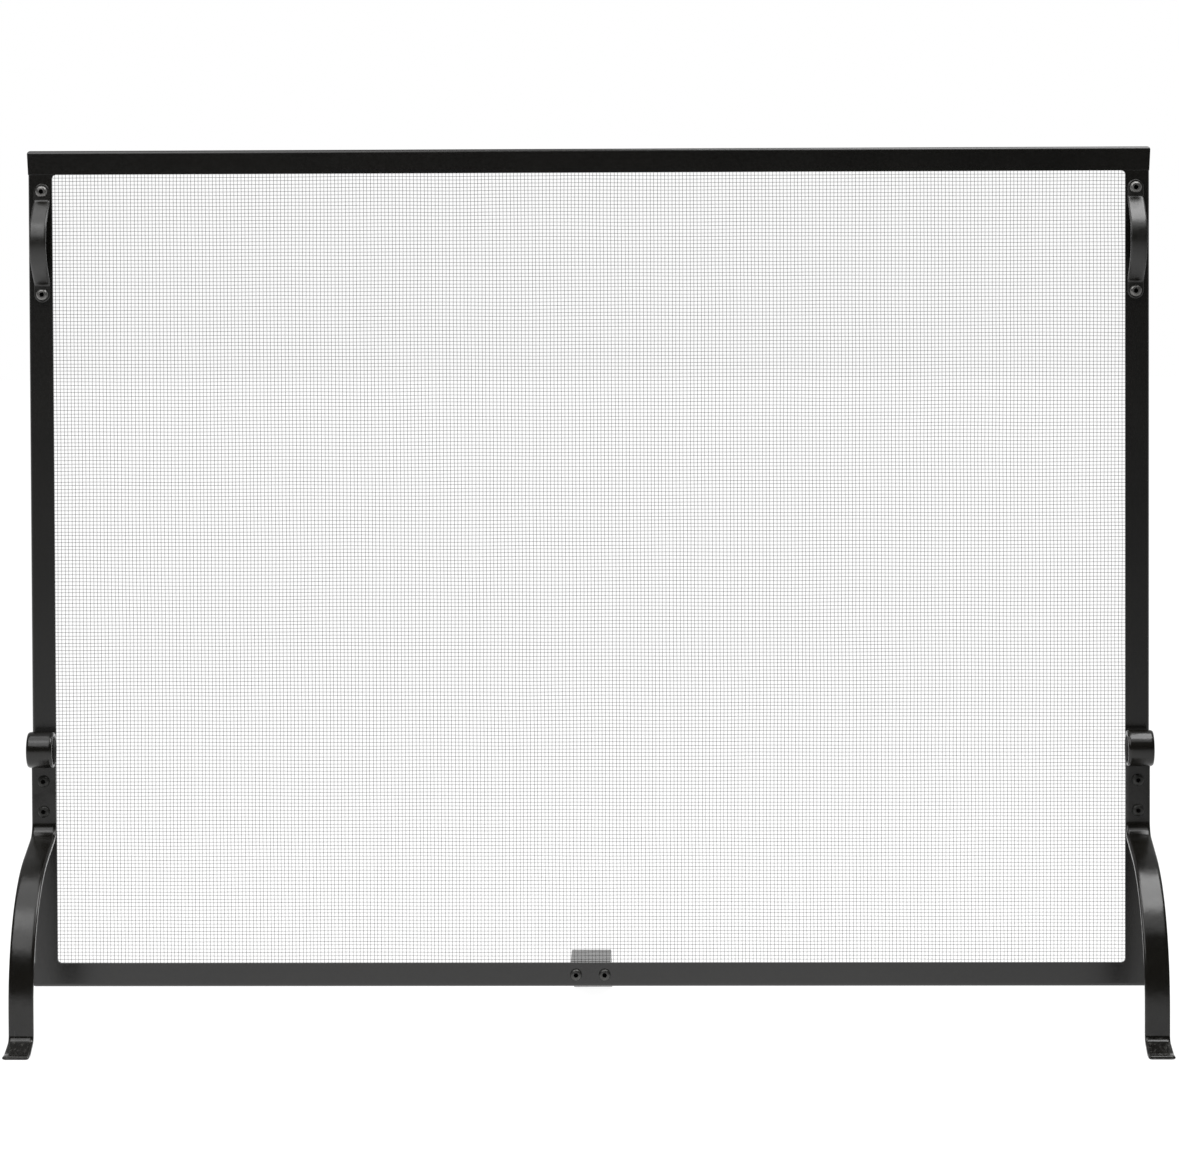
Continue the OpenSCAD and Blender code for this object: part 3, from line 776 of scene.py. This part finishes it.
def finish_tree(tree, add, geometry, material):
    """Ends a tree: real geometry with its material."""
    real = add("GeometryNodeRealizeInstances", Geometry=geometry)
    dressed = add("GeometryNodeSetMaterial", Geometry=real.outputs[0], Material=material)
    out = tree.nodes.new("NodeGroupOutput")
    tree.links.new(dressed.outputs[0], out.inputs[0])


def value_output(node):
    """The output of a random value node that is in use."""
    return next(socket for socket in node.outputs if socket.type == "VALUE" and socket.enabled)


def grown_mesh(name, tree, mesh, values):
    """Runs a tree on a mesh and returns the plain result."""
    thing = bpy.data.objects.new(name, mesh)
    modifier = thing.modifiers.new("grow", "NODES")
    modifier.node_group = tree
    for item in tree.interface.items_tree:
        if item.in_out == "INPUT" and item.name in values:
            modifier[item.identifier] = values[item.name]
    bpy.context.scene.collection.objects.link(thing)
    return plain_mesh(thing)


def fastener_tree():
    """Sets a fastener on every point of a mesh, each turned by its own random angle."""
    tree, given, add = new_tree("set_fasteners", (
        ("Fastener", "Object"), ("Most Turn", "Float"), ("Seed", "Int"), ("Material", "Material"),
    ))
    one = add("GeometryNodeObjectInfo", Object=given["Fastener"])
    spin = add("FunctionNodeRandomValue", {"data_type": "FLOAT"}, Seed=given["Seed"])
    for socket in spin.inputs:
        if socket.name == "Max" and socket.type == "VALUE":
            tree.links.new(given["Most Turn"], socket)
    turn = add("ShaderNodeCombineXYZ", Y=value_output(spin))
    rotation = add("FunctionNodeEulerToRotation", n0=turn.outputs[0])
    placed = add(
        "GeometryNodeInstanceOnPoints", Points=given["Geometry"], Instance=one.outputs["Geometry"],
        Rotation=rotation.outputs[0])
    finish_tree(tree, add, placed.outputs[0], given["Material"])
    return tree


def points_mesh(points):
    mesh = bpy.data.meshes.new("places")
    mesh.from_pydata([Vector(p) for p in points], [], [])
    return mesh


def set_fasteners(tree, node, template_mesh, y, seed, most_turn=ANY_TURN, material=OXIDE):
    """Sets the fastener at each of the CAD node's solids, at the given depth."""
    template = bpy.data.objects.new("template", template_mesh)
    bpy.context.scene.collection.objects.link(template)
    places = points_mesh([(x, y, z) for x, z in solid_middles(node)])
    mesh = grown_mesh(node + "_made", tree, places, {
        "Fastener": template, "Most Turn": most_turn, "Seed": seed, "Material": material,
    })
    bpy.data.objects.remove(template)
    made = piece_of(node + "_made", mesh, material, "black_fasteners", node)
    made.data.set_sharp_from_angle(angle=math.radians(CREASE))


def solid_middles(node):
    """The middle, as x and z, of each separate solid in a CAD node."""
    work = merged_copy(node)
    seen, middles = set(), []
    for vert in work.verts:
        if vert in seen:
            continue
        group, stack = [], [vert]
        seen.add(vert)
        while stack:
            here = stack.pop()
            group.append(here.co.copy())
            for edge in here.link_edges:
                other = edge.other_vert(here)
                if other not in seen:
                    seen.add(other)
                    stack.append(other)
        low = Vector(min(p[i] for p in group) for i in range(3))
        high = Vector(max(p[i] for p in group) for i in range(3))
        middles.append(((low.x + high.x) / 2, (low.z + high.z) / 2))
    work.free()
    return sorted(middles)


def fasteners():
    """Screws and bolts from the front, their nuts behind the bars, and the bars' studs and nuts."""
    tree = fastener_tree()
    rows = []
    # Each row's oxide is painted lighter or darker for how the light falls on that place
    for side_name in SIDES:
        rows.append((side_name + "_handle_screws", HANDLE_T, OXIDE))
        rows.append((side_name + "_leg_bolts", LEG_T, DULL_SHADED_OXIDE))
    rows.append(("rear_foot_screws", 0.0, SHADED_REAR_OXIDE))
    for seed, (node, strap_t, finish) in enumerate(rows, start=SCREW_SEED):
        head_y = front_y - strap_t * MM
        length = (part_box(node)[1].y - head_y) / MM
        set_fasteners(tree, node, button_screw_mesh(length), head_y, seed, material=finish)
    nuts = [side_name + kind for side_name in SIDES for kind in ("_handle_nuts", "_leg_nuts")]
    for seed, node in enumerate(nuts, start=NUT_SEED):
        set_fasteners(tree, node, nut_mesh(*BIG_NUT), back_y, seed, most_turn=NUT_TURN)
    stud_low, stud_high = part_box("bar_studs")
    stud = stud_mesh((stud_high.y - stud_low.y) / MM)
    set_fasteners(tree, "bar_studs", stud, stud_low.y, STUD_SEED)
    set_fasteners(tree, "bar_nuts", nut_mesh(*SMALL_NUT), back_y, BAR_NUT_SEED)


# ---------------------------------------------------------------- woven wire
# An inch in mm, and the distance from one wire to the next
INCH, WIRES_PER_INCH = 25.4, 8
PITCH = INCH / WIRES_PER_INCH * MM
WIRE_D, WIRE_SIDES = 0.34 * MM, 4
PANEL_MARGIN = 1.2 * MM
# Pieces for each direction of wire, which keeps each piece light
STRIPS = 3
# How far the cloth drifts as a whole, in patches of this many to the metre, and how uneven its wires lie
CLOTH_DRIFT, DRIFT_SCALE, DRIFT_DETAIL = 1.6 * MM, 9.0, 1.5
UNEVEN, WIRE_SEED = 0.25 * MM, 7


def weave_tree():
    """Parallel wires that rise and dip at every crossing, drifting a little as the cloth does."""
    tree, given, add = new_tree("weave", (
        ("Wires", "Int"), ("Crossings", "Int"), ("Corner", "Vector"), ("Between Wires", "Vector"),
        ("Between Crossings", "Vector"), ("Wire Diameter", "Float"), ("Wave Height", "Float"),
        ("First Wire", "Int"), ("Drift", "Float"), ("Unevenness", "Float"), ("Seed", "Int"),
        ("Material", "Material"),
    ))

    def maths(operation, a, b=0.0):
        return add("ShaderNodeMath", {"operation": operation}, n0=a, n1=b).outputs[0]

    def vectors(operation, **inputs):
        return add("ShaderNodeVectorMath", {"operation": operation}, **inputs).outputs[0]

    # Rows of points where the wires cross
    wire = add(
        "GeometryNodeMeshLine", {"mode": "OFFSET"}, Count=given["Crossings"],
        Offset=given["Between Crossings"])
    row = add(
        "GeometryNodeMeshLine", {"mode": "OFFSET"}, Count=given["Wires"],
        Start_Location=given["Corner"], Offset=given["Between Wires"])
    wires = add("GeometryNodeInstanceOnPoints", Points=row.outputs[0], Instance=wire.outputs[0])
    real = add("GeometryNodeRealizeInstances", Geometry=wires.outputs[0])

    # Over at one crossing and under at the next
    index = maths("ADD", add("GeometryNodeInputIndex").outputs[0], 0.5)
    which = maths("ADD", maths("FLOOR", maths("DIVIDE", index, given["Crossings"])), given["First Wire"])
    along = maths("FLOOR", maths("FLOORED_MODULO", index, given["Crossings"]))
    parity = maths("FLOORED_MODULO", maths("ADD", which, along), 2.0)
    over = maths("SUBTRACT", maths("MULTIPLY", parity, 2.0), 1.0)
    rise = maths("MULTIPLY", over, given["Wave Height"])

    # The cloth's drift, and each wire's own place between its neighbours
    place = add("GeometryNodeInputPosition").outputs[0]
    field = add(
        "ShaderNodeTexNoise", {"noise_dimensions": "3D"}, Vector=place, Scale=DRIFT_SCALE,
        Detail=DRIFT_DETAIL)
    centred = vectors("SUBTRACT", n0=field.outputs["Color"], n1=(0.5, 0.5, 0.5))
    drift = add("ShaderNodeSeparateXYZ", n0=vectors("SCALE", n0=centred, Scale=given["Drift"]))
    chance = add("FunctionNodeRandomValue", {"data_type": "FLOAT"}, ID=which, Seed=given["Seed"])
    step = maths("MULTIPLY", maths("SUBTRACT", value_output(chance), 0.5), given["Unevenness"])
    uneven = vectors("SCALE", n0=vectors("NORMALIZE", n0=given["Between Wires"]), Scale=step)
    lift = add("ShaderNodeCombineXYZ", X=drift.outputs["X"], Y=rise, Z=drift.outputs["Z"])
    offset = vectors("ADD", n0=lift.outputs[0], n1=uneven)
    moved = add("GeometryNodeSetPosition", Geometry=real.outputs[0], Offset=offset)

    # Wire along the rows
    line = add("GeometryNodeMeshToCurve", Mesh=moved.outputs[0])
    section = add(
        "GeometryNodeCurvePrimitiveCircle", {"mode": "RADIUS"}, Resolution=WIRE_SIDES,
        Radius=maths("MULTIPLY", given["Wire Diameter"], 0.5))
    tube = add(
        "GeometryNodeCurveToMesh", Curve=line.outputs[0], Profile_Curve=section.outputs[0],
        Fill_Caps=True)
    finish_tree(tree, add, tube.outputs[0], given["Material"])
    return tree


def woven_panel():
    """Upright and level wires, over and under each other, in strips of wires."""
    tree = weave_tree()
    width = panel_high.x - panel_low.x - 2 * PANEL_MARGIN
    height = panel_high.z - panel_low.z - 2 * PANEL_MARGIN
    uprights, levels = int(width / PITCH) + 1, int(height / PITCH) + 1
    corner_x = (panel_low.x + panel_high.x) / 2 - (uprights - 1) * PITCH / 2
    corner_z = (panel_low.z + panel_high.z) / 2 - (levels - 1) * PITCH / 2
    middle_y = (panel_low.y + panel_high.y) / 2
    sets = (
        ("woven_uprights", uprights, levels, Vector((PITCH, 0, 0)), Vector((0, 0, PITCH)), 1),
        ("woven_levels", levels, uprights, Vector((0, 0, PITCH)), Vector((PITCH, 0, 0)), -1),
    )
    for name, count, crossings, between, along, facing in sets:
        first = 0
        for strip in range(STRIPS):
            last = round(count * (strip + 1) / STRIPS)
            corner = Vector((corner_x, middle_y, corner_z)) + between * first
            mesh = grown_mesh(name, tree, points_mesh([(0, 0, 0)]), {
                "Wires": last - first, "Crossings": crossings, "Corner": corner, "Between Wires": between,
                "Between Crossings": along, "Wire Diameter": WIRE_D, "Wave Height": facing * WIRE_D / 2,
                "First Wire": first, "Drift": CLOTH_DRIFT, "Unevenness": UNEVEN, "Seed": WIRE_SEED,
                "Material": WIRE,
            })
            piece_of(f"{name}_{strip + 1}", mesh, WIRE, "woven_wire", "mesh_panel")
            first = last


# ---------------------------------------------------------------- stage and light
# The floor's size in m, its whiteness to the eye, its glow in reflections near the screen, and the
# distance in front at which that glow has halved
FLOOR_SIZE, FLOOR_WHITE, FLOOR_NEAR, FLOOR_HALF_AT = 40.0, 1.12, 1.42, 2.4
# Between these places to the right, in m, the glow falls to this share of itself
DIM_FROM, DIM_TO, DIM_SHARE = 0.1, 0.95, 0.52
# The floor's own paint, and how much of what is seen of it is glow
FLOOR_PAINT, GLOW_SHARE = (0.9, 0.9, 0.9, 1), 0.86

# Where the white wall fades in along Y and along Z, and where the room does along Y, in directions
WALL_SIDE, WALL_TOP, ROOM_SIDE = (0.0, 0.35), (0.55, 0.25), (-0.15, 0.35)
# How much brighter the room gets, how bright it is at least, and the even light on dull surfaces
ROOM_GLOW, ROOM_LEAST, AMBIENT = 0.35, 0.02, 0.55

# Name, place and target in m, size in m, power in W
LIGHTS = (
    ("front_right", (0.72, -0.96, 2.1), (0.5, 0.0, 0.45), (1.3, 1.1), 6),
    ("overhead_right", (0.72, -0.10, 2.1), (0.6, -0.15, 0.0), (1.3, 1.2), 30),
    ("overhead_left", (-0.9, -0.5, 2.1), (-0.7, -0.3, 0.0), (1.3, 1.6), 14),
    ("front_left", (-1.0, -1.5, 2.0), (-0.48, 0.0, 0.4), (1.5, 1.5), 18),
)


def floor():
    """A white floor; in reflections its glow fades forwards and to the right."""
    bpy.ops.mesh.primitive_plane_add(size=1)
    plane = bpy.context.object
    plane.name = "floor"
    plane.data.transform(Matrix.Diagonal((FLOOR_SIZE, FLOOR_SIZE, 1.0, 1.0)))
    material = bpy.data.materials.new("floor")
    material.use_nodes = True
    shading = Shading(material.node_tree)
    paint = shading.nodes["Principled BSDF"]
    paint.inputs["Base Color"].default_value = FLOOR_PAINT
    paint.inputs["Roughness"].default_value = 1.0
    paint.inputs["Specular IOR Level"].default_value = 0.0
    camera_ray, seen = shading.rays()
    axes = shading.axes(shading.add("ShaderNodeTexCoord").outputs["Object"])
    ahead = shading.maths("MAXIMUM", shading.maths("DIVIDE", axes["Y"], -FLOOR_HALF_AT), 0.0)
    fade = shading.maths("DIVIDE", FLOOR_NEAR, shading.maths("ADD", ahead, 1.0))
    aside = shading.range(axes["X"], 1.0, DIM_SHARE, start=DIM_FROM, stop=DIM_TO, curve="SMOOTHSTEP")
    level = shading.add("ShaderNodeMix")
    level.inputs["B"].default_value = FLOOR_WHITE
    shading.join(camera_ray, level.inputs["Factor"])
    shading.join(shading.maths("MULTIPLY", fade, aside), level.inputs["A"])
    glow = shading.add("ShaderNodeEmission")
    shading.join(level.outputs["Result"], glow.inputs["Strength"])
    share = shading.maths("MULTIPLY", seen, GLOW_SHARE)
    mixed = shading.mixed(share, paint.outputs[0], glow.outputs[0])
    shading.join(mixed, shading.nodes["Material Output"].inputs["Surface"])
    plane.data.materials.append(material)


def studio_world():
    """White behind the screen, and in reflections a wall low at the back and a dim room.

    The room is darkest in front."""
    world = bpy.data.worlds.new("studio")
    bpy.context.scene.world = world
    world.use_nodes = True
    world.node_tree.nodes.clear()
    shading = Shading(world.node_tree)
    camera_ray, seen = shading.rays()
    axes = shading.axes(shading.add("ShaderNodeTexCoord").outputs["Generated"])

    def ramp(value, span):
        return shading.range(value, 0, 1, start=span[0], stop=span[1], curve="SMOOTHSTEP")

    def even_light(strength):
        background = shading.add("ShaderNodeBackground")
        background.inputs["Color"].default_value = (1, 1, 1, 1)
        shading.give(strength, background.inputs["Strength"])
        return background.outputs[0]

    wall = shading.maths("MULTIPLY", ramp(axes["Y"], WALL_SIDE), ramp(axes["Z"], WALL_TOP))
    glow = shading.maths("MULTIPLY", ramp(axes["Y"], ROOM_SIDE), ROOM_GLOW)
    room = shading.maths("ADD", glow, ROOM_LEAST)
    reflected = even_light(shading.maths("MAXIMUM", wall, room))
    lit = shading.mixed(seen, even_light(AMBIENT), reflected)
    surface = shading.mixed(camera_ray, lit, even_light(1.0))
    shading.join(surface, shading.add("ShaderNodeOutputWorld").inputs["Surface"])


def soft_light(name, place, target, size, power):
    """A rectangular light that faces its target and isn't seen itself."""
    data = bpy.data.lights.new(name, "AREA")
    data.shape, data.size, data.size_y = "RECTANGLE", *size
    data.energy = power
    lamp = bpy.data.objects.new(name, data)
    lamp.visible_camera = False
    back = (Vector(place) - Vector(target)).normalized()
    lamp.matrix_world = Matrix.Translation(place) @ back.to_track_quat("Z", "Y").to_matrix().to_4x4()
    bpy.context.scene.collection.objects.link(lamp)


aim_camera()
frame_members()
woven_panel()
for side in SIDES:
    leg(side)
    handle(side)
rear_foot()
fasteners()
floor()
studio_world()
for light in LIGHTS:
    soft_light(*light)
bpy.context.scene.view_settings.view_transform = "Standard"
